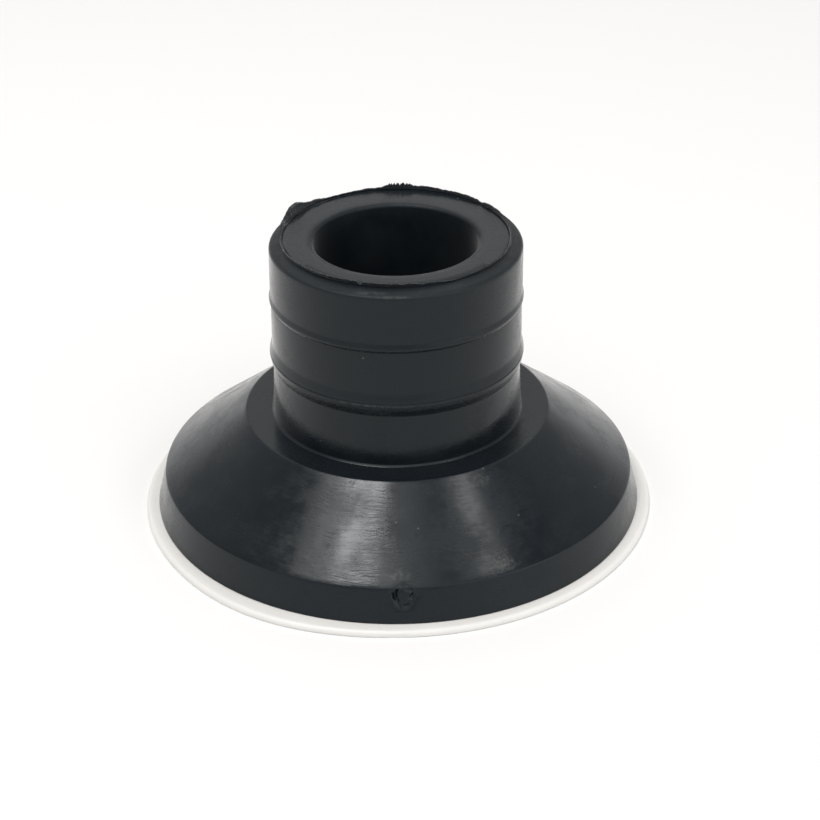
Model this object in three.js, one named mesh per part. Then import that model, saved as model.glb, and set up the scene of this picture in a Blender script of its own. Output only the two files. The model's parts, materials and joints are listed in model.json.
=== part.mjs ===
// A small sink plunger head: a black rubber cup with a thick tubular handle socket, standing on a
// white rim seal. Millimetres, +Z up, with the origin at the centre of the face that it stands on.
//
// The black rubber is one moulding. It is divided here where it flexes in use: the foot stays on
// the sink, the conical wall folds, and the neck travels up and down with the handle.
import * as THREE from "three";

// ---- Driving dimensions ----
const SEGMENTS = 64; // steps round the axis in every revolved piece

const SKIRT_RADIUS = 50; // lower edge of the black skirt
const SEAL_HEIGHT = 1.8; // thickness of the white seal's flange
const SEAL_OVERHANG = 2.5; // how far the flange stands out past the skirt
const SKIRT_TOP_RADIUS = 48.2; // where the skirt turns into the cone
const SKIRT_TOP_Z = 8.5;
const SHOULDER_RADIUS = 30.9; // where the cone turns into the flat shoulder
const SHOULDER_Z = 21.4;
const WALL_THICKNESS = 4.5; // of the cone, square to its surface
const FOOT_INNER_RADIUS = 43.8; // inside of the thick lower rim

const NECK_TOP_Z = 58.4; // the flat ring face round the socket's mouth
const LOWER_NECK_RADIUS = 25.3;
const LOWER_LIP_Z = 35.3; // proud edge where two mould plates met
const LOWER_LIP_RADIUS = 25.65;
const UNDERCUT_Z = 32.2; // the lip's sloping underside ends here
const UPPER_LIP_Z = 47.5; // a second, smaller proud edge
const UPPER_LIP_RADIUS = 25.35;
const NECK_TOP_RADIUS = 25.1;

const SOCKET_RADIUS = 16.4; // bore that takes the handle's end
const SOCKET_FLOOR_Z = 22.4;
const MOUTH_ROUNDING = 0.8;

const FIN_RADIUS = 22.3; // torn moulding flash that rings the top face
const FIN_HALF_WIDTH = 0.35;
const FIN_LOW = 1; // its height at the front
const FIN_HIGH = 2.5; // its height at the back
const FIN_SHARPNESS = 4; // how quickly it drops away from the back

const BEAD_INNER_RADIUS = 45.7; // upstanding bead of the seal, seated in the foot's groove
const BEAD_OUTER_RADIUS = 47.1;
const BEAD_TOP_Z = 4.3;
const SEAT_GAP = 0.3; // room between the bead and its groove

// ---- Materials ----
const blackRubber = new THREE.MeshStandardMaterial({ color: 0x2b2f32, roughness: 0.5, metalness: 0 });
const whiteSeal = new THREE.MeshStandardMaterial({ color: 0xf0eee6, roughness: 0.4, metalness: 0 });

// ---- Helpers ----
const point = (radius, z) => new THREE.Vector2(radius, z);

// Points on a circular arc in the radius-height plane, from one angle to another in degrees.
function arc(centreRadius, centreZ, size, fromDegrees, toDegrees, steps) {
  const points = [];
  for (let i = 0; i <= steps; i++) {
    const angle = THREE.MathUtils.degToRad(THREE.MathUtils.lerp(fromDegrees, toDegrees, i / steps));
    points.push(point(centreRadius + size * Math.cos(angle), centreZ + size * Math.sin(angle)));
  }
  return points;
}

// A solid of revolution about Z. The profile runs anticlockwise in the radius-height plane.
function revolve(profile) {
  const geometry = new THREE.LatheGeometry(profile, SEGMENTS);
  geometry.rotateX(Math.PI / 2);
  return geometry;
}

function piece(name, geometry, material) {
  const mesh = new THREE.Mesh(geometry, material);
  mesh.name = name;
  return mesh;
}

// ---- The cone's inner surface, parallel to its outer one ----
const coneRun = SKIRT_TOP_RADIUS - SHOULDER_RADIUS;
const coneDrop = SHOULDER_Z - SKIRT_TOP_Z;
const coneLength = Math.hypot(coneRun, coneDrop);
const innerConeTopRadius = SHOULDER_RADIUS - (WALL_THICKNESS * coneDrop) / coneLength;
const innerConeTopZ = SHOULDER_Z - (WALL_THICKNESS * coneRun) / coneLength;
const innerConeZ = (radius) => innerConeTopZ - ((radius - innerConeTopRadius) * coneDrop) / coneRun;

const wallTopOuter = point(SHOULDER_RADIUS, SHOULDER_Z);
const wallTopInner = point(innerConeTopRadius, innerConeTopZ);
const wallFootOuter = point(SKIRT_TOP_RADIUS, SKIRT_TOP_Z);
const wallFootInner = point(FOOT_INNER_RADIUS, innerConeZ(FOOT_INNER_RADIUS));

// ---- Pieces ----

// The white ring under the rim: a flange with a rounded edge, and a bead that holds it in the rubber.
function rimSeal() {
  const outer = SKIRT_RADIUS + SEAL_OVERHANG;
  const edge = SEAL_HEIGHT / 2;
  const beadRounding = (BEAD_OUTER_RADIUS - BEAD_INNER_RADIUS) / 2;
  const beadMiddle = (BEAD_OUTER_RADIUS + BEAD_INNER_RADIUS) / 2;
  return revolve([
    point(FOOT_INNER_RADIUS, 0),
    ...arc(outer - edge, edge, edge, -90, 90, 6),
    point(BEAD_OUTER_RADIUS, SEAL_HEIGHT),
    ...arc(beadMiddle, BEAD_TOP_Z - beadRounding, beadRounding, 0, 180, 4),
    point(BEAD_INNER_RADIUS, SEAL_HEIGHT),
    point(FOOT_INNER_RADIUS, SEAL_HEIGHT),
    point(FOOT_INNER_RADIUS, 0),
  ]);
}

// The thick lower rim of the rubber, with the groove that the seal's bead sits in.
function footSkirt() {
  const grooveTopZ = BEAD_TOP_Z + SEAT_GAP;
  return revolve([
    point(FOOT_INNER_RADIUS, SEAL_HEIGHT),
    point(BEAD_INNER_RADIUS - SEAT_GAP, SEAL_HEIGHT),
    point(BEAD_INNER_RADIUS - SEAT_GAP, grooveTopZ),
    point(BEAD_OUTER_RADIUS + SEAT_GAP, grooveTopZ),
    point(BEAD_OUTER_RADIUS + SEAT_GAP, SEAL_HEIGHT),
    point(SKIRT_RADIUS, SEAL_HEIGHT),
    wallFootOuter,
    wallFootInner,
    point(FOOT_INNER_RADIUS, SEAL_HEIGHT),
  ]);
}

// The conical wall, which folds and springs back as the plunger is worked.
function cupWall() {
  return revolve([wallFootInner, wallFootOuter, wallTopOuter, wallTopInner, wallFootInner]);
}

// How far the flash stands above the top face, by its angle round the axis (+Y is the back).
function finHeight(x, y) {
  const backness = Math.max(0, y / Math.hypot(x, y));
  return FIN_LOW + (FIN_HIGH - FIN_LOW) * backness ** FIN_SHARPNESS;
}

// The neck: a thick tube closed at the bottom by a web, with the flat shoulder round its foot.
// The web's underside is level with the top of the cone's inner surface.
function neckSocket() {
  const geometry = revolve([
    point(0, innerConeTopZ),
    wallTopInner,
    wallTopOuter,
    point(LOWER_NECK_RADIUS, SHOULDER_Z),
    point(LOWER_NECK_RADIUS, UNDERCUT_Z),
    point(LOWER_LIP_RADIUS, LOWER_LIP_Z),
    point(LOWER_LIP_RADIUS - 0.2, LOWER_LIP_Z + 0.5),
    point(UPPER_LIP_RADIUS - 0.35, UPPER_LIP_Z - 0.6),
    point(UPPER_LIP_RADIUS, UPPER_LIP_Z),
    point(UPPER_LIP_RADIUS - 0.15, UPPER_LIP_Z + 0.6),
    point(NECK_TOP_RADIUS, NECK_TOP_Z - 1.6),
    point(NECK_TOP_RADIUS - 0.5, NECK_TOP_Z - 0.8),
    point(FIN_RADIUS + FIN_HALF_WIDTH, NECK_TOP_Z - 0.2),
    point(FIN_RADIUS, NECK_TOP_Z + FIN_LOW),
    point(FIN_RADIUS - FIN_HALF_WIDTH, NECK_TOP_Z),
    ...arc(SOCKET_RADIUS + MOUTH_ROUNDING, NECK_TOP_Z - MOUTH_ROUNDING, MOUTH_ROUNDING, 90, 180, 4),
    point(SOCKET_RADIUS, SOCKET_FLOOR_Z),
    point(0, SOCKET_FLOOR_Z),
  ]);
  const place = geometry.getAttribute("position");
  for (let i = 0; i < place.count; i++) {
    if (place.getZ(i) > NECK_TOP_Z + FIN_LOW / 2) {
      place.setZ(i, NECK_TOP_Z + finHeight(place.getX(i), place.getY(i)));
    }
  }
  return geometry;
}

// ---- Assembly ----
const neck = new THREE.Group(); // travels along Z against the spring of the wall
neck.add(piece("neck_socket", neckSocket(), blackRubber));

const foot = new THREE.Group(); // stays on the sink
foot.add(piece("rim_seal", rimSeal(), whiteSeal));
foot.add(piece("foot_skirt", footSkirt(), blackRubber));
foot.add(piece("cup_wall", cupWall(), blackRubber));

const plunger = new THREE.Group();
plunger.add(foot, neck);

export default plunger;
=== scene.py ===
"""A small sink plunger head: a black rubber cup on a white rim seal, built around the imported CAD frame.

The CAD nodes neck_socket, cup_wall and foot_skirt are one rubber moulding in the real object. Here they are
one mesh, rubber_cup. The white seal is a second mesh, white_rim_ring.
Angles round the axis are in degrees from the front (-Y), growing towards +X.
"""
import json
import math
from collections import namedtuple

import bmesh
import bpy
from mathutils import Matrix, Vector, noise


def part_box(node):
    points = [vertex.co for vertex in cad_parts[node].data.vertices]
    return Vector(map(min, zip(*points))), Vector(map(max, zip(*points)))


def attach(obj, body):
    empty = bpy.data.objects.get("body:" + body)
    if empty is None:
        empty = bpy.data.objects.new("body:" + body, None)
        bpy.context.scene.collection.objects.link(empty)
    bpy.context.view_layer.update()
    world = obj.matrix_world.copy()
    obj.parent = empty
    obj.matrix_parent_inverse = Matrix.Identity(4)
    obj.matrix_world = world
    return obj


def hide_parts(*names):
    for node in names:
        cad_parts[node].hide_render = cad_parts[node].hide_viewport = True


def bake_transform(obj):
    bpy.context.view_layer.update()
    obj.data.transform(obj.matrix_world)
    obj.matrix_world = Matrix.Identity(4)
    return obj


MM = 0.001

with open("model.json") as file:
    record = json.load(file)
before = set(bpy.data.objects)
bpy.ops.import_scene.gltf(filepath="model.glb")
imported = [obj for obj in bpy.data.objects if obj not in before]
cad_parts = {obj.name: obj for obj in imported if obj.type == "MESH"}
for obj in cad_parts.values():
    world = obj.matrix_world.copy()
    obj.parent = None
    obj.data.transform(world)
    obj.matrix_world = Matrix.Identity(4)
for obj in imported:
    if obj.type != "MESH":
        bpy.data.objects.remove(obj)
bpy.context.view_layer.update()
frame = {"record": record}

# ---------------------------------------------------------------- sizes
# Taken from the CAD nodes' boxes and the mount on the top face, in metres.
neck_low, neck_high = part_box("neck_socket")
wall_low, wall_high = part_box("cup_wall")
foot_low, foot_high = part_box("foot_skirt")
_, seal_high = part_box("rim_seal")
mount_places = {mount["name"]: mount["pos_m"] for mount in frame["record"]["mounts"]}

SEAL_TOP = foot_low.z
SEAL_RADIUS = seal_high.x
BEAD_TOP = seal_high.z
SKIRT_RADIUS = foot_high.x
SKIRT_TOP_RADIUS = wall_high.x
SKIRT_TOP = foot_high.z
SHOULDER_RADIUS = neck_high.x
SHOULDER = wall_high.z
NECK_TOP = mount_places["socket_mouth_face"][2]
CEILING = neck_low.z
INNER_CONE_FOOT = wall_low.z

# Repeated from the CAD source, where a box doesn't give them. The ceiling's radius is rounded.
FOOT_INNER_RADIUS = 43.8 * MM
CEILING_RADIUS = 28.2 * MM
BEAD_INNER_RADIUS = 45.7 * MM
BEAD_OUTER_RADIUS = 47.1 * MM
SEAT_GAP = 0.3 * MM
SOCKET_RADIUS = 16.4 * MM
SOCKET_FLOOR = 22.4 * MM
NECK_RADIUS = 25.3 * MM
UNDERCUT = 32.2 * MM
LOWER_LIP = 35.3 * MM
LOWER_LIP_RADIUS = 25.65 * MM
UPPER_LIP = 47.5 * MM
UPPER_LIP_RADIUS = 25.35 * MM
NECK_TOP_RADIUS = 25.1 * MM

# Where the fine surface leaves the CAD a little.
FLASH_RADIUS = 22.65 * MM
FLASH_OFFSET = 1.1 * MM  # the flash's circle lies this far back from the axis
NECK_SHIFT = 0.15 * MM  # the top of the neck sits this far towards +X
SKIRT_DROP = 0.5 * MM  # the skirt's outer edge hangs this far below its seat, over the ring's outer edge
RING_STEP_RADIUS = (BEAD_OUTER_RADIUS + SKIRT_RADIUS) / 2  # where the ring's top steps down to make room
EDGE_DROP = 0.25 * MM  # the edge between the cone and the skirt sits this much lower

ROUND_STEPS = 360  # vertices round the cup and the ring
FLASH_SPLIT = 3  # the torn flash has this many times as many
CRACK = -1.0  # the lift of the station at the bottom of the crack beside the flash
OUTSIDE_STEP = 0.75 * MM  # longest run between two profile points where the surface shows
INSIDE_STEP = 2.5 * MM
ARC_STEP = 14  # most degrees that a rounded corner turns between two of its points
SHARP_DEGREES = 50  # edges that turn more than this are shaded as sharp

# ---------------------------------------------------------------- profiles
# One station of a profile. lift is its share of the flash's height, and split multiplies ROUND_STEPS.
Station = namedtuple("Station", "radius z lift split", defaults=(0.0, 1))


def fillet(before, corner, after, size):
    """Points on the arc of that radius that rounds a corner, from one side to the other."""
    back = (before - corner).normalized()
    ahead = (after - corner).normalized()
    half = math.acos(max(-1.0, min(1.0, back.dot(ahead)))) / 2
    centre = corner + (back + ahead).normalized() * (size / math.sin(half))
    first = corner + back * (size / math.tan(half)) - centre
    last = corner + ahead * (size / math.tan(half)) - centre
    turn = math.pi - 2 * half
    if first.x * last.y - first.y * last.x < 0:
        turn = -turn
    steps = max(2, math.ceil(abs(turn) / math.radians(ARC_STEP)))
    return [centre + Matrix.Rotation(turn * k / steps, 2) @ first for k in range(steps + 1)]


def outline(corners, step):
    """Stations along straight runs between (radius, z, fillet size) corners, the ends included."""
    places = [Vector(corner[:2]) for corner in corners]
    path = [places[0]]
    for i in range(1, len(corners) - 1):
        size = corners[i][2]
        if size > 0:
            path += fillet(places[i - 1], places[i], places[i + 1], size)
        else:
            path.append(places[i])
    path.append(places[-1])
    stations = []
    for a, b in zip(path, path[1:]):
        parts = max(1, math.ceil((b - a).length / step))
        stations += [Station(*a.lerp(b, k / parts)) for k in range(parts)]
    return stations + [Station(*path[-1])]


def joined(*runs):
    """Runs of stations end to end, each starting where the last one ended."""
    whole = list(runs[0])
    for run in runs[1:]:
        whole += run[1:]
    return whole


# ---------------------------------------------------------------- revolved meshes
def connect(bm, first, second):
    """Faces between two rings. One may be a single vertex, or have several times the other's vertices."""
    count = min(len(first), len(second))
    if count == 1:
        pole, ring, flip = (first[0], second, True) if len(first) == 1 else (second[0], first, False)
        for k in range(len(ring)):
            face = [ring[k], ring[(k + 1) % len(ring)], pole]
            bm.faces.new(face[::-1] if flip else face)
        return
    first_split, second_split = len(first) // count, len(second) // count
    for k in range(count):
        a = [first[(k * first_split + i) % len(first)] for i in range(first_split + 1)]
        b = [second[(k * second_split + i) % len(second)] for i in range(second_split + 1)]
        if first_split == second_split:
            bm.faces.new([a[0], a[1], b[1], b[0]])
        elif first_split < second_split:
            middle = second_split // 2
            for i in range(second_split):
                bm.faces.new([a[0] if i <= middle else a[1], b[i + 1], b[i]])
            bm.faces.new([a[0], a[1], b[middle + 1]])
        else:
            middle = first_split // 2
            for i in range(first_split):
                bm.faces.new([a[i], a[i + 1], b[0] if i <= middle else b[1]])
            bm.faces.new([b[1], b[0], a[middle + 1]])


def revolve(stations, place, closed):
    """A bmesh of the profile turned round Z. place(station, degrees) gives each vertex's point."""
    bm = bmesh.new()
    rings = []
    for station in stations:
        count = 1 if station.radius == 0 else ROUND_STEPS * station.split
        rings.append([bm.verts.new(place(station, 360 * k / count)) for k in range(count)])
    followers = rings[1:] + rings[:1] if closed else rings[1:]
    for first, second in zip(rings, followers):
        connect(bm, first, second)
    return bm


def around(radius, degrees, z):
    """The point at that radius, angle round the axis and height."""
    angle = math.radians(degrees)
    return Vector((radius * math.sin(angle), -radius * math.cos(angle), z))


def as_object(name, bm, sharp_degrees):
    """The bmesh as an object in the scene, smooth but for its sharp edges."""
    mesh = bpy.data.meshes.new(name)
    bm.to_mesh(mesh)
    bm.free()
    mesh.polygons.foreach_set("use_smooth", [True] * len(mesh.polygons))
    mesh.set_sharp_from_angle(angle=math.radians(sharp_degrees))
    made = bpy.data.objects.new(name, mesh)
    bpy.context.scene.collection.objects.link(made)
    return made


# ---------------------------------------------------------------- the torn flash
FLASH_HEIGHT = 0.68 * MM
FLASH_FOOT = 0.22 * MM  # half its thickness at the foot
FLASH_CREST = 0.08 * MM  # half its thickness at the crest
INNER_LEAN = 0.5  # the inside face leans this much as far as the outside one, so a leaning lump is thick

# Where the flash stands taller, or is torn off: (degrees, half width in degrees, extra height, outward lean).
FLASH_TUFTS = [
    (0, 55, 0.25 * MM, 0.2 * MM),
    (341.5, 1.0, -0.6 * MM, 0.0),
    (30, 11, -0.5 * MM, 0.0),
    (118, 20, 0.25 * MM, 0.3 * MM),
    (165, 26, 0.6 * MM, 0.3 * MM),
    (335, 10, 0.2 * MM, 0.0),
    (224, 7, 0.25 * MM, 0.5 * MM),
    (237, 7, 1.2 * MM, 1.1 * MM),
    (250, 8, 0.7 * MM, 0.8 * MM),
    (272, 13, -0.45 * MM, 0.0),
]
THREADS = (178.6, 6.4)  # the middle and half width, in degrees, of the tuft that is torn into threads
THREAD_RISE = 0.75 * MM

CRACK_WIDTH = 0.22 * MM
# The crack between the flash and the flat face: (degrees, half width in degrees, depth).
CRACKS = [
    (88, 17, 0.5 * MM),
    (278, 14, 0.35 * MM),
    (180, 60, 0.4 * MM),
]


def ramp(value, low, high):
    """0 up to the low value, 1 from the high value on."""
    return min(1.0, max(0.0, (value - low) / (high - low)))


def swell(degrees, centre, half_width, steepness=2):
    """1 at the centre, 0.5 at the half width, 0 far beyond. A higher steepness flattens the top."""
    away = abs((degrees - centre + 180) % 360 - 180)
    return math.exp(-0.69 * (away / half_width) ** steepness)


def ripple(degrees, turns, row):
    """Smooth noise from -1 to 1 round the axis, about that many waves to a turn. Each row is different."""
    angle = math.radians(degrees)
    size = turns / math.tau
    return noise.noise(Vector((size * math.sin(angle), size * math.cos(angle), row)))


def torn_edge(degrees):
    """The share of the flash's full height that is left at this angle."""
    chip = 0.12 * ripple(degrees, 90, 3.1) + 0.07 * ripple(degrees, 330, 7.7)
    tear = max(0.0, ripple(degrees, 46, 12.4) - 0.3) * 0.9
    return max(0.12, 0.97 + chip - tear)


def flash_height(degrees):
    extra = sum(rise * swell(degrees, centre, width) for centre, width, rise, _ in FLASH_TUFTS)
    threads = swell(degrees, *THREADS, steepness=8) * (0.7 + 0.75 * ripple(degrees, 620, 5.5))
    return (FLASH_HEIGHT + extra) * torn_edge(degrees) + THREAD_RISE * threads


def flash_lean(degrees):
    """How far the crest stands outwards of the foot, on the outside."""
    spread = sum(out * swell(degrees, centre, width) for centre, width, _, out in FLASH_TUFTS)
    return spread + 0.14 * MM * ripple(degrees, 36, 21.0) + 0.05 * MM * ripple(degrees, 240, 5.0)


def crack_depth(degrees):
    return sum(depth * swell(degrees, centre, width) for centre, width, depth in CRACKS)


def flash_stations(rim_edge, face_edge):
    """From the rim's inner edge over the flash's crest and the crack to the flat face's outer edge."""
    foot_out = FLASH_RADIUS + FLASH_FOOT
    foot_in = FLASH_RADIUS - FLASH_FOOT
    crest_out = FLASH_RADIUS + FLASH_CREST
    crest_in = FLASH_RADIUS - FLASH_CREST
    base = rim_edge.z
    stations = [rim_edge, Station(foot_out, base, 0.0, FLASH_SPLIT)]
    for share in (0.3, 0.6, 0.85, 1.0):
        radius = foot_out + (crest_out - foot_out) * share
        stations.append(Station(radius, base, share, FLASH_SPLIT))
    for share in (1.0, 0.85, 0.6, 0.3, 0.0):
        radius = foot_in + (crest_in - foot_in) * share
        stations.append(Station(radius, base, share, FLASH_SPLIT))
    crack = (foot_in + face_edge.radius) / 2
    stations.append(Station(crack, NECK_TOP - 0.08 * MM, CRACK, FLASH_SPLIT))
    stations.append(face_edge)
    return stations


# ---------------------------------------------------------------- the rubber cup
def cup_stations():
    """The whole profile, from the web's underside out, up the outside, over the rim and into the socket."""
    inside = outline(
        [
            (0, CEILING, 0),
            (CEILING_RADIUS, CEILING, 1.2 * MM),
            (FOOT_INNER_RADIUS, INNER_CONE_FOOT, 0.8 * MM),
            (FOOT_INNER_RADIUS, SEAL_TOP, 0.2 * MM),
            (BEAD_INNER_RADIUS - SEAT_GAP, SEAL_TOP, 0.15 * MM),
            (BEAD_INNER_RADIUS - SEAT_GAP, BEAD_TOP + SEAT_GAP, 0.4 * MM),
            (BEAD_OUTER_RADIUS + SEAT_GAP, BEAD_TOP + SEAT_GAP, 0.4 * MM),
            (BEAD_OUTER_RADIUS + SEAT_GAP, SEAL_TOP, 0.15 * MM),
            (RING_STEP_RADIUS, SEAL_TOP, 0),
        ],
        INSIDE_STEP,
    )
    rim_edge = Station(FLASH_RADIUS + FLASH_FOOT + 0.1 * MM, NECK_TOP - 0.3 * MM)
    outside = outline(
        [
            # the skirt, and the cone above it
            (RING_STEP_RADIUS, SEAL_TOP, 0),
            (RING_STEP_RADIUS + 0.3 * MM, SEAL_TOP - SKIRT_DROP, 0.1 * MM),
            (SKIRT_RADIUS, SEAL_TOP - SKIRT_DROP, 0.15 * MM),
            (SKIRT_TOP_RADIUS, SKIRT_TOP - EDGE_DROP, 0.45 * MM),
            (SHOULDER_RADIUS, SHOULDER, 0.6 * MM),
            # the fillet at the foot of the neck, and the lower neck
            (NECK_RADIUS + 0.35 * MM, SHOULDER - 0.15 * MM, 0.3 * MM),
            (NECK_RADIUS, SHOULDER + 0.2 * MM, 0.05 * MM),
            (NECK_RADIUS - 0.35 * MM, UNDERCUT - 1.0 * MM, 0.8 * MM),
            (NECK_RADIUS - 0.35 * MM, UNDERCUT, 0.6 * MM),
            # the sloping underside, and the lower lip
            (NECK_RADIUS - 0.2 * MM, UNDERCUT + 0.65 * MM, 0.15 * MM),
            (NECK_RADIUS + 0.15 * MM, UNDERCUT + 1.3 * MM, 0.3 * MM),
            (LOWER_LIP_RADIUS - 0.02 * MM, LOWER_LIP - 0.75 * MM, 0.2 * MM),
            (LOWER_LIP_RADIUS - 0.02 * MM, LOWER_LIP - 0.42 * MM, 0.05 * MM),
            (LOWER_LIP_RADIUS - 0.15 * MM, LOWER_LIP - 0.28 * MM, 0.05 * MM),
            (LOWER_LIP_RADIUS - 0.06 * MM, LOWER_LIP - 0.1 * MM, 0.08 * MM),
            # the middle band, the groove and the upper lip
            (UPPER_LIP_RADIUS - 0.2 * MM, LOWER_LIP + 1.8 * MM, 1.0 * MM),
            (UPPER_LIP_RADIUS - 0.3 * MM, UPPER_LIP - 2.0 * MM, 0.3 * MM),
            (UPPER_LIP_RADIUS - 0.33 * MM, UPPER_LIP - 1.55 * MM, 0.12 * MM),
            (UPPER_LIP_RADIUS + 0.02 * MM, UPPER_LIP - 1.0 * MM, 0.2 * MM),
            (UPPER_LIP_RADIUS + 0.07 * MM, UPPER_LIP - 0.6 * MM, 0.3 * MM),
            (UPPER_LIP_RADIUS - 0.2 * MM, UPPER_LIP + 0.4 * MM, 0.6 * MM),
            # the rounded rim
            (NECK_TOP_RADIUS, NECK_TOP - 0.6 * MM, 0.8 * MM),
            (rim_edge.radius, rim_edge.z, 0),
        ],
        OUTSIDE_STEP,
    )
    face_edge = Station(FLASH_RADIUS - FLASH_FOOT - CRACK_WIDTH, NECK_TOP)
    socket = outline(
        [
            (face_edge.radius, NECK_TOP, 0),
            (SOCKET_RADIUS, NECK_TOP, 0.75 * MM),
            (SOCKET_RADIUS, SOCKET_FLOOR, 1.5 * MM),
            (0, SOCKET_FLOOR, 0),
        ],
        INSIDE_STEP,
    )
    return joined(inside, outside, flash_stations(outside[-1], face_edge), socket)


CUP_WAVE = 0.05 * MM  # how far the soft moulding is out of round
TOP_WAVE = 0.1 * MM  # how far the top of the neck is out of level
FLASH_WAVE = 0.03 * MM  # how rough the flash's sides are


def place_on_cup(station, degrees):
    """A vertex of the cup, with the small waves of a soft moulding and the torn flash's shape."""
    radius, z = station.radius, station.z
    if radius == 0:
        return Vector((0, 0, z))
    height_share = max(0.0, (z - SHOULDER) / (NECK_TOP - SHOULDER))
    radius += CUP_WAVE * ripple(degrees, 7, z / (9 * MM)) * min(1.0, radius / SOCKET_RADIUS)
    near_top = ramp(z, NECK_TOP - 0.6 * MM, NECK_TOP - 0.35 * MM)
    near_flash = near_top * ramp(radius, SOCKET_RADIUS + 1 * MM, FLASH_RADIUS - 1 * MM)
    radius -= FLASH_OFFSET * math.cos(math.radians(degrees)) * near_flash
    if radius > NECK_TOP_RADIUS - 2 * MM:
        z += TOP_WAVE * height_share * ripple(degrees, 9, 40.0)
    if station.lift > 0:
        lean = flash_lean(degrees) * (1 if station.radius > FLASH_RADIUS else INNER_LEAN)
        radius += lean * station.lift
        radius += FLASH_WAVE * ripple(degrees, 300, 50 * station.lift + radius / MM)
        z += flash_height(degrees) * station.lift
    if station.lift == CRACK:
        z -= crack_depth(degrees)
    point = around(radius, degrees, z)
    point.x += NECK_SHIFT * height_share
    return point


# ---------------------------------------------------------------- the gate scar
SCAR_HEIGHT = 6.8 * MM  # its centre's z, on the skirt
SCAR_DEGREES = 0.8  # and its angle
SCAR_RADIUS = 1.65 * MM
SCAR_WIDTH = 0.4 * MM
SCAR_DEPTH = 0.85 * MM
SCAR_REACH = 1.6 * SCAR_RADIUS  # nothing further from the centre is changed
SCAR_CUTS = 4  # each edge near the scar is cut this many times, so that the groove has its own vertices


def gate_scar(bm):
    """The broken ring that the moulding gate left at the front of the skirt."""
    up = (SCAR_HEIGHT - SEAL_TOP) / (SKIRT_TOP - SEAL_TOP)
    centre = around(SKIRT_RADIUS + (SKIRT_TOP_RADIUS - SKIRT_RADIUS) * up, SCAR_DEGREES, SCAR_HEIGHT)
    near = [edge for edge in bm.edges if all((v.co - centre).length < SCAR_REACH for v in edge.verts)]
    bmesh.ops.subdivide_edges(bm, edges=near, cuts=SCAR_CUTS, use_grid_fill=True)
    for vertex in bm.verts:
        away = vertex.co - centre
        if away.length > SCAR_REACH:
            continue
        spread = math.hypot(away.x, away.z)
        pointed = 1 + 0.2 * max(0.0, -away.z / max(spread, 0.1 * MM)) ** 4
        from_ring = spread + 0.25 * MM * noise.noise(vertex.co / MM * 1.1) - SCAR_RADIUS * pointed
        groove = math.exp(-((from_ring / SCAR_WIDTH) ** 2))
        broken = min(1.0, max(0.0, 0.75 + 1.3 * noise.noise(vertex.co / MM * 0.8 + Vector((0, 0, 4)))))
        broken *= 1 - 0.8 * ramp(away.z, 0.5 * SCAR_RADIUS, 0.85 * SCAR_RADIUS)
        vertex.co.y += SCAR_DEPTH * groove * broken


cup_mesh = revolve(cup_stations(), place_on_cup, closed=False)
gate_scar(cup_mesh)
rubber_cup = as_object("rubber_cup", cup_mesh, SHARP_DEGREES)


# ---------------------------------------------------------------- the white ring
def ring_stations():
    """The ring's section, from a point on its underside out, up the rim, over the bead and back."""
    bead_rounding = 0.6 * MM
    corners = [
        ((FOOT_INNER_RADIUS + BEAD_INNER_RADIUS) / 2, 0, 0),
        (SEAL_RADIUS, 0, 0.25 * MM),
        (SEAL_RADIUS, SEAL_TOP - SKIRT_DROP, 0.9 * MM),
        (RING_STEP_RADIUS + 0.15 * MM, SEAL_TOP - SKIRT_DROP - 0.04 * MM, 0.1 * MM),
        (RING_STEP_RADIUS - 0.15 * MM, SEAL_TOP, 0.1 * MM),
        (BEAD_OUTER_RADIUS, SEAL_TOP, 0.1 * MM),
        (BEAD_OUTER_RADIUS, BEAD_TOP, bead_rounding),
        (BEAD_INNER_RADIUS, BEAD_TOP, bead_rounding),
        (BEAD_INNER_RADIUS, SEAL_TOP, 0.1 * MM),
        (FOOT_INNER_RADIUS, SEAL_TOP, 0.3 * MM),
        (FOOT_INNER_RADIUS, 0, 0.3 * MM),
        ((FOOT_INNER_RADIUS + BEAD_INNER_RADIUS) / 2, 0, 0),
    ]
    return outline(corners, OUTSIDE_STEP)[:-1]


# Where the soft ring is pushed out: degrees, half width in degrees, distance.
RING_BULGE = (327, 18, 0.9 * MM)
RING_WAVE = 0.06 * MM  # how far it is out of round


def place_on_ring(station, degrees):
    """A vertex of the ring, with its bulge, which is cut off flat where it would leave the CAD's box."""
    centre, half_width, push = RING_BULGE
    outer = ramp(station.radius, BEAD_OUTER_RADIUS + 1 * MM, SEAL_RADIUS - 1 * MM)
    radius = min(station.radius + RING_WAVE * ripple(degrees, 6, 60.0), SEAL_RADIUS)
    radius += push * swell(degrees, centre, half_width) * outer
    point = around(radius, degrees, station.z)
    point.y = max(point.y, -SEAL_RADIUS)
    return point


ring_mesh = revolve(ring_stations(), place_on_ring, closed=True)
white_rim_ring = as_object("white_rim_ring", ring_mesh, SHARP_DEGREES)


# ---------------------------------------------------------------- materials
def add_node(tree, kind, inputs=None, **settings):
    """A node with its settings. An input that is a socket is linked, and one that is a value is set."""
    node = tree.nodes.new(kind)
    for name, value in settings.items():
        setattr(node, name, value)
    for name, value in (inputs or {}).items():
        if isinstance(value, bpy.types.NodeSocket):
            tree.links.new(value, node.inputs[name])
        else:
            node.inputs[name].default_value = value
    return node


def maths(tree, operation, a, b=0.0, clamp=False):
    return add_node(tree, "ShaderNodeMath", {0: a, 1: b}, operation=operation, use_clamp=clamp).outputs[0]


def remap(tree, value, low, high, to_low, to_high):
    inputs = {0: value, 1: low, 2: high, 3: to_low, 4: to_high}
    return add_node(tree, "ShaderNodeMapRange", inputs).outputs[0]


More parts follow.
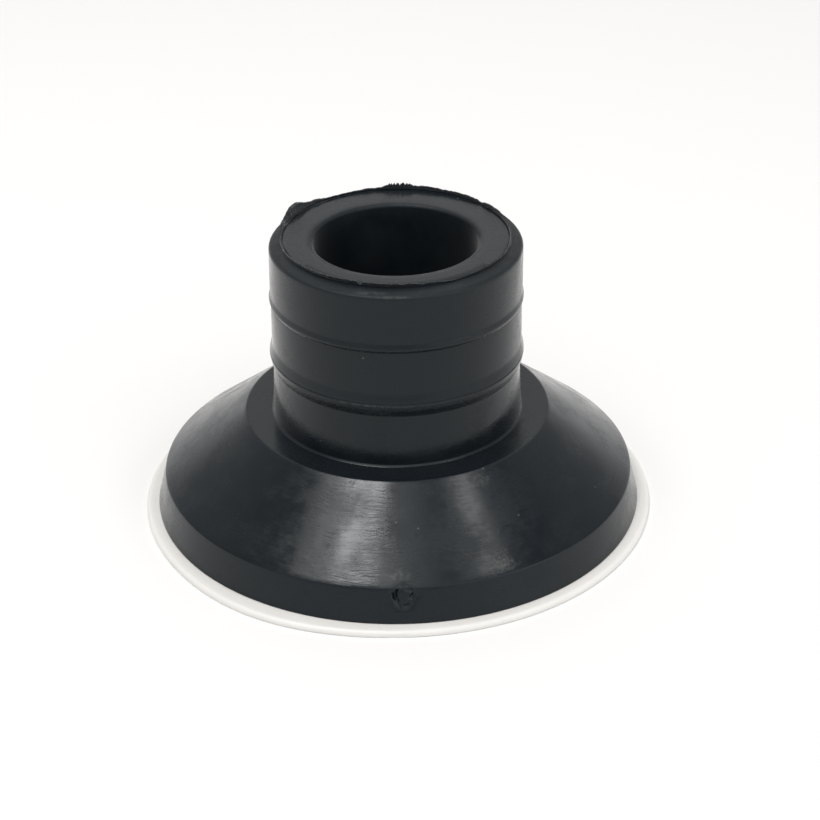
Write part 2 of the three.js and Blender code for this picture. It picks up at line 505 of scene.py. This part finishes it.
def noise_at(tree, place, scale, detail, roughness=0.55):
    inputs = {"Vector": place, "Scale": scale, "Detail": detail, "Roughness": roughness}
    return add_node(tree, "ShaderNodeTexNoise", inputs).outputs["Fac"]


def blend_colours(tree, share, a, b):
    node = add_node(tree, "ShaderNodeMix", {0: share, 6: a, 7: b}, data_type="RGBA")
    return node.outputs[2]


def bump(tree, height, depth, under=None):
    """Adds a height map of that depth in metres to a normal."""
    inputs = {"Height": height, "Distance": depth, "Strength": 1.0}
    if under is not None:
        inputs["Normal"] = under
    return add_node(tree, "ShaderNodeBump", inputs).outputs["Normal"]


def millimetres(tree):
    """The place in mm, the x and y of its direction from the axis, its z less its radius, and its radius."""
    place = add_node(tree, "ShaderNodeTexCoord").outputs["Object"]
    scaled = add_node(tree, "ShaderNodeVectorMath", {0: place, 3: 1 / MM}, operation="SCALE").outputs[0]
    split = add_node(tree, "ShaderNodeSeparateXYZ", {0: scaled})
    flat = add_node(tree, "ShaderNodeCombineXYZ", {0: split.outputs[0], 1: split.outputs[1]}).outputs[0]
    radius = add_node(tree, "ShaderNodeVectorMath", {0: flat}, operation="LENGTH").outputs["Value"]
    unit = add_node(tree, "ShaderNodeVectorMath", {0: flat}, operation="NORMALIZE").outputs[0]
    unit_parts = add_node(tree, "ShaderNodeSeparateXYZ", {0: unit})
    z_less_radius = maths(tree, "SUBTRACT", split.outputs[2], radius)
    return scaled, unit_parts.outputs[0], unit_parts.outputs[1], z_less_radius, radius


def lines_round(tree, x, y, down, length, width):
    """A place whose noise makes lines round the axis, that many mm wide. A higher length shortens them."""
    inputs = {0: maths(tree, "MULTIPLY", x, length), 1: maths(tree, "MULTIPLY", y, length)}
    inputs[2] = maths(tree, "MULTIPLY", down, 1 / width)
    return add_node(tree, "ShaderNodeCombineXYZ", inputs).outputs[0]


def new_material(name):
    material = bpy.data.materials.new(name)
    material.use_nodes = True
    return material, material.node_tree, material.node_tree.nodes["Principled BSDF"]


def patch(tree, place, centre, reach):
    """1 in the middle of an ellipsoid with those half sizes in mm, fading to 0 at its surface."""
    away = add_node(tree, "ShaderNodeVectorMath", {0: place, 1: centre}, operation="SUBTRACT").outputs[0]
    away = add_node(tree, "ShaderNodeVectorMath", {0: away, 1: reach}, operation="DIVIDE").outputs[0]
    length = add_node(tree, "ShaderNodeVectorMath", {0: away}, operation="LENGTH").outputs["Value"]
    return remap(tree, length, 1.0, 0.35, 0.0, 1.0)


def on_outside(degrees, z):
    """The point in mm on the cup's outside at that height in mm, for the skirt, the cone and the neck."""
    profile = [
        (SEAL_TOP, SKIRT_RADIUS),
        (SKIRT_TOP, SKIRT_TOP_RADIUS),
        (SHOULDER, SHOULDER_RADIUS),
        (SHOULDER, NECK_RADIUS),
        (NECK_TOP - 0.6 * MM, NECK_TOP_RADIUS),
        (NECK_TOP, FLASH_RADIUS),
    ]
    for (low, low_radius), (high, high_radius) in zip(profile, profile[1:]):
        if low <= z * MM < high:
            share = (z * MM - low) / (high - low)
            return around(low_radius + (high_radius - low_radius) * share, degrees, z * MM) / MM
    return around(FLASH_RADIUS, degrees, z * MM) / MM


# Places where the rubber is paler, mostly worn: (degrees, z in mm, half sizes in mm, strength). Those at 22,
# 25 and 29 degrees are partly painted highlight.
WEAR_AND_HIGHLIGHT = [
    (-14, 58.0, (5, 1.5, 0.25), 0.6),
    (-4, 57.7, (9, 1.2, 0.25), 0.6),
    (-16.5, 20.8, (0.7, 0.9, 0.4), 4.0),
    # A thin pale line along the front of the lower lip.
    (-14, 34.7, (12, 3.5, 0.22), 0.7),
    (-1, 9.9, (3.4, 2.0, 1.3), 0.7),
    # Painted highlight over a real smudge: these three brighten the cone's right reflection band.
    (25, 9.8, (3.4, 2.4, 2.0), 0.9),
    (22, 11.6, (1.2, 2.0, 2.8), 0.4),
    (29, 20.2, (3.4, 2.5, 1.6), 0.5),
    (88, 59.2, (2.0, 6.5, 0.7), 0.9),
    (277, 58.7, (1.6, 3.0, 0.6), 0.9),
]


def wear_and_highlight_share(tree, place, streaks):
    """How pale the worn places and the painted highlight make each point, broken up by noise."""
    total = 0.0
    for degrees, z, reach, strength in WEAR_AND_HIGHLIGHT:
        here = patch(tree, place, on_outside(degrees, z), reach)
        total = maths(tree, "ADD", total, maths(tree, "MULTIPLY", here, strength))
    return maths(tree, "MULTIPLY", total, remap(tree, streaks, 0.42, 0.62, 0.0, 1.0), clamp=True)


def dust_share(tree, place):
    """Scattered pale specks a few tenths of a millimetre across."""
    cells = add_node(tree, "ShaderNodeTexVoronoi", {"Vector": place, "Scale": 0.2})
    draw = add_node(tree, "ShaderNodeSeparateColor", {0: cells.outputs["Color"]})
    speck = remap(tree, cells.outputs["Distance"], 0.05, 0.025, 0.0, 1.0)
    return maths(tree, "MULTIPLY", speck, maths(tree, "GREATER_THAN", draw.outputs[0], 0.25))


def rubber_material():
    """Moulded black rubber: satin, with drag lines round it, cloudy film, worn pale edges, a painted
    highlight on the cone's right side and a little dust.
    """
    clean_colour = (0.0020, 0.0042, 0.0066, 1)
    filmed_colour = (0.0036, 0.0058, 0.0076, 1)
    # Worn pale rubber, and partly a painted highlight on the cone's right reflection band.
    wear_and_highlight_colour = (0.06, 0.063, 0.062, 1)
    dust_colour = (0.055, 0.066, 0.068, 1)
    # How much rougher than the rest each of these is.
    wear_and_highlight_roughness = 0.25
    socket_roughness = 0.3
    rim_roughness = 0.34
    dust_roughness = 0.5
    # How deep the marks in the surface are.
    drag_depth = 0.03 * MM
    hairline_depth = 0.003 * MM
    grain_depth = 0.0015 * MM
    shred_depth = 0.25 * MM
    # Where the rim's roughness fades in, and where the torn flash stands clear of the face.
    rim_low, rim_high = NECK_TOP / MM - 1.4, NECK_TOP / MM - 0.6
    torn_low, torn_high = NECK_TOP / MM + 0.12, NECK_TOP / MM + 0.3
    material, tree, shader = new_material("moulded_rubber")
    place, x, y, down, radius = millimetres(tree)

    haze = noise_at(tree, place, 0.09, 4)
    film = noise_at(tree, place, 0.14, 7, 0.62)
    grain = noise_at(tree, place, 5.5, 3)
    wavy = maths(tree, "ADD", down, maths(tree, "MULTIPLY", noise_at(tree, place, 0.3, 2), 2.4))
    drag = noise_at(tree, lines_round(tree, x, y, wavy, 11, 0.55), 1.0, 4, 0.6)
    hairlines = noise_at(tree, lines_round(tree, x, y, wavy, 14, 0.16), 1.0, 3, 0.6)
    outside = remap(tree, radius, 16.8, 18.0, 0.0, 1.0)
    drag_here = maths(tree, "MULTIPLY", remap(tree, haze, 0.42, 0.58, 0.2, 1.0), outside)
    # Mask of the worn places and of the painted highlight on the cone's right side.
    wear_and_highlight = wear_and_highlight_share(tree, place, noise_at(tree, place, 0.8, 4, 0.6))
    dust = maths(tree, "MULTIPLY", dust_share(tree, place), outside)

    height = maths(tree, "ADD", down, radius)
    flash_axis = add_node(tree, "ShaderNodeCombineXYZ", {1: FLASH_OFFSET / MM, 2: height}).outputs[0]
    away = add_node(tree, "ShaderNodeVectorMath", {0: place, 1: flash_axis}, operation="DISTANCE")
    flash_radius = FLASH_RADIUS / MM
    past_flash = remap(tree, away.outputs["Value"], flash_radius - 0.1, flash_radius + 0.2, 0.0, 1.0)
    on_rim = maths(tree, "MULTIPLY", remap(tree, height, rim_low, rim_high, 0.0, 1.0), past_flash)

    torn = maths(tree, "MULTIPLY", remap(tree, height, torn_low, torn_high, 0.0, 1.0), outside)
    shreds = noise_at(tree, place, 2.6, 4, 0.7)

    colour = blend_colours(tree, film, clean_colour, filmed_colour)
    colour = blend_colours(tree, wear_and_highlight, colour, wear_and_highlight_colour)
    colour = blend_colours(tree, dust, colour, dust_colour)
    tree.links.new(colour, shader.inputs["Base Color"])

    rough = remap(tree, film, 0.38, 0.62, 0.14, 0.31)
    rough = maths(tree, "ADD", rough, remap(tree, drag, 0.3, 0.7, -0.04, 0.05))
    rough = maths(tree, "ADD", rough, maths(tree, "MULTIPLY", wear_and_highlight, wear_and_highlight_roughness))
    in_socket = maths(tree, "SUBTRACT", 1.0, outside)
    rough = maths(tree, "ADD", rough, maths(tree, "MULTIPLY", in_socket, socket_roughness))
    rough = maths(tree, "ADD", rough, maths(tree, "MULTIPLY", on_rim, rim_roughness))
    rough = maths(tree, "ADD", rough, maths(tree, "MULTIPLY", dust, dust_roughness), clamp=True)
    tree.links.new(rough, shader.inputs["Roughness"])

    normal = bump(tree, maths(tree, "MULTIPLY", drag, drag_here), drag_depth)
    normal = bump(tree, maths(tree, "MULTIPLY", hairlines, outside), hairline_depth, normal)
    normal = bump(tree, grain, grain_depth, normal)
    normal = bump(tree, maths(tree, "MULTIPLY", shreds, torn), shred_depth, normal)
    tree.links.new(normal, shader.inputs["Normal"])
    shader.inputs["IOR"].default_value = 1.36
    shader.inputs["Specular Tint"].default_value = (0.92, 0.98, 1.0, 1)
    shader.inputs["Sheen Weight"].default_value = 0.25
    shader.inputs["Sheen Roughness"].default_value = 0.3
    return material


def ring_material():
    """Soft cream-white plastic, satin, with faint flow marks and a faintly uneven colour."""
    darker_colour = (0.63, 0.628, 0.60, 1)
    lighter_colour = (0.69, 0.69, 0.67, 1)
    flow_depth = 0.006 * MM
    grain_depth = 0.003 * MM
    material, tree, shader = new_material("cream_plastic")
    place, x, y, down, radius = millimetres(tree)
    haze = noise_at(tree, place, 0.15, 4)
    grain = noise_at(tree, place, 4.0, 3)
    flow = noise_at(tree, lines_round(tree, x, y, down, 12, 0.5), 1.0, 3)
    colour = blend_colours(tree, haze, darker_colour, lighter_colour)
    tree.links.new(colour, shader.inputs["Base Color"])
    tree.links.new(remap(tree, flow, 0.3, 0.7, 0.32, 0.44), shader.inputs["Roughness"])
    normal = bump(tree, flow, flow_depth)
    tree.links.new(bump(tree, grain, grain_depth, normal), shader.inputs["Normal"])
    shader.inputs["Subsurface Weight"].default_value = 0.15
    shader.inputs["Subsurface Radius"].default_value = (1.0, 0.9, 0.7)
    shader.inputs["Subsurface Scale"].default_value = 1 * MM
    return material


rubber_cup.data.materials.append(rubber_material())
white_rim_ring.data.materials.append(ring_material())

# ---------------------------------------------------------------- how the pieces move
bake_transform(rubber_cup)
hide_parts("neck_socket", "cup_wall", "foot_skirt")
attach(white_rim_ring, "foot")
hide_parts("rim_seal")


# ---------------------------------------------------------------- floor, light and camera
def plain_material(name, colour, roughness):
    """One even colour, with a weak reflection."""
    material, _, shader = new_material(name)
    shader.inputs["Base Color"].default_value = (*colour, 1)
    shader.inputs["Roughness"].default_value = roughness
    shader.inputs["Specular IOR Level"].default_value = 0.2
    return material


def pale_floor():
    """A plain pale surface for the object to stand on."""
    size = 3.0
    bm = bmesh.new()
    corners = [(-size, -size), (size, -size), (size, size), (-size, size)]
    bm.faces.new([bm.verts.new((x, y, 0)) for x, y in corners])
    floor = as_object("floor", bm, SHARP_DEGREES)
    floor.data.materials.append(plain_material("pale_floor", (0.758, 0.758, 0.75), 0.6))
    return floor


def soft_light(name, place, size, radiance):
    """A rectangular soft light that faces the origin, with its long side level, and shines that brightly."""
    towards = Vector(place).normalized()
    level = (Vector((1, 0, 0)) - towards * towards.x).normalized()
    axes = Matrix((level, towards.cross(level), towards)).transposed()
    data = bpy.data.lights.new(name, "AREA")
    data.shape = "RECTANGLE"
    data.size, data.size_y = size
    data.color = (1.0, 0.94, 0.92)
    data.energy = radiance * math.pi * size[0] * size[1]
    light = bpy.data.objects.new(name, data)
    light.location = place
    light.rotation_euler = axes.to_euler()
    bpy.context.scene.collection.objects.link(light)


def soft_surroundings():
    """A pale room, dim overhead, with a brighter horizon, front and back walls and front right corner."""
    ceiling = 0.42
    horizon_glow = 1.0
    front_wall = 2.0
    back_wall = 1.75
    side_glow = 1.0
    side_direction = (0.85, -0.5, 0.17)
    world = bpy.data.worlds.new("studio")
    world.use_nodes = True
    tree = world.node_tree
    direction = add_node(tree, "ShaderNodeTexCoord").outputs["Generated"]
    split = add_node(tree, "ShaderNodeSeparateXYZ", {0: direction})
    height = maths(tree, "MAXIMUM", split.outputs[2], 0.0)
    to_front = maths(tree, "MAXIMUM", maths(tree, "MULTIPLY", split.outputs[1], -1.0), 0.0)
    to_back = maths(tree, "MAXIMUM", split.outputs[1], 0.0)
    low_down = remap(tree, height, 0.0, 0.3, horizon_glow, 0.0)
    horizon = maths(tree, "MULTIPLY", low_down, maths(tree, "SUBTRACT", 1.0, to_front))
    front = maths(tree, "MULTIPLY", maths(tree, "MULTIPLY", to_front, height), front_wall)
    back = maths(tree, "MULTIPLY", to_back, height)
    back = maths(tree, "MULTIPLY", back, maths(tree, "MULTIPLY", height, back_wall))
    inputs = {0: direction, 1: side_direction}
    towards = add_node(tree, "ShaderNodeVectorMath", inputs, operation="DOT_PRODUCT")
    side = remap(tree, towards.outputs["Value"], 0.75, 1.0, 0.0, side_glow)
    strength = maths(tree, "ADD", maths(tree, "ADD", horizon, front), maths(tree, "ADD", back, side))
    strength = maths(tree, "ADD", strength, ceiling)
    tree.links.new(strength, tree.nodes["Background"].inputs["Strength"])
    tree.nodes["Background"].inputs["Color"].default_value = (0.99, 0.995, 1.0, 1)
    bpy.context.scene.world = world


pale_floor()
soft_surroundings()
soft_light("left_window", (-0.215, -0.21, 0.955), (0.26, 0.25), 16.5)
soft_light("middle_glow", (0.06, -0.30, 0.95), (0.22, 0.22), 1.3)
soft_light("left_glow", (-0.39, -0.09, 0.92), (0.26, 0.30), 5.8)
soft_light("right_window", (0.43, -0.10, 0.90), (0.18, 0.30), 5.4)


def photographer_camera():
    """The camera that looks down at the plunger from the front, level but for a slight roll."""
    elevation = math.radians(28.3)
    distance = 0.42
    middle = Vector((0, 0, 0.03))  # the camera is at that distance from this point
    aim = Vector((0.00257, -0.0043, 0.022))
    data = bpy.data.cameras.new("camera")
    data.lens = 90.65
    data.sensor_width = 36
    camera = bpy.data.objects.new("camera", data)
    camera.location = middle + distance * Vector((0, -math.cos(elevation), math.sin(elevation)))
    facing = (aim - camera.location).to_track_quat("-Z", "Y")
    roll = Matrix.Rotation(math.radians(-0.55), 4, "Z")
    camera.rotation_euler = (facing.to_matrix().to_4x4() @ roll).to_euler()
    bpy.context.scene.collection.objects.link(camera)
    bpy.context.scene.camera = camera


photographer_camera()
bpy.context.scene.view_settings.view_transform = "Standard"
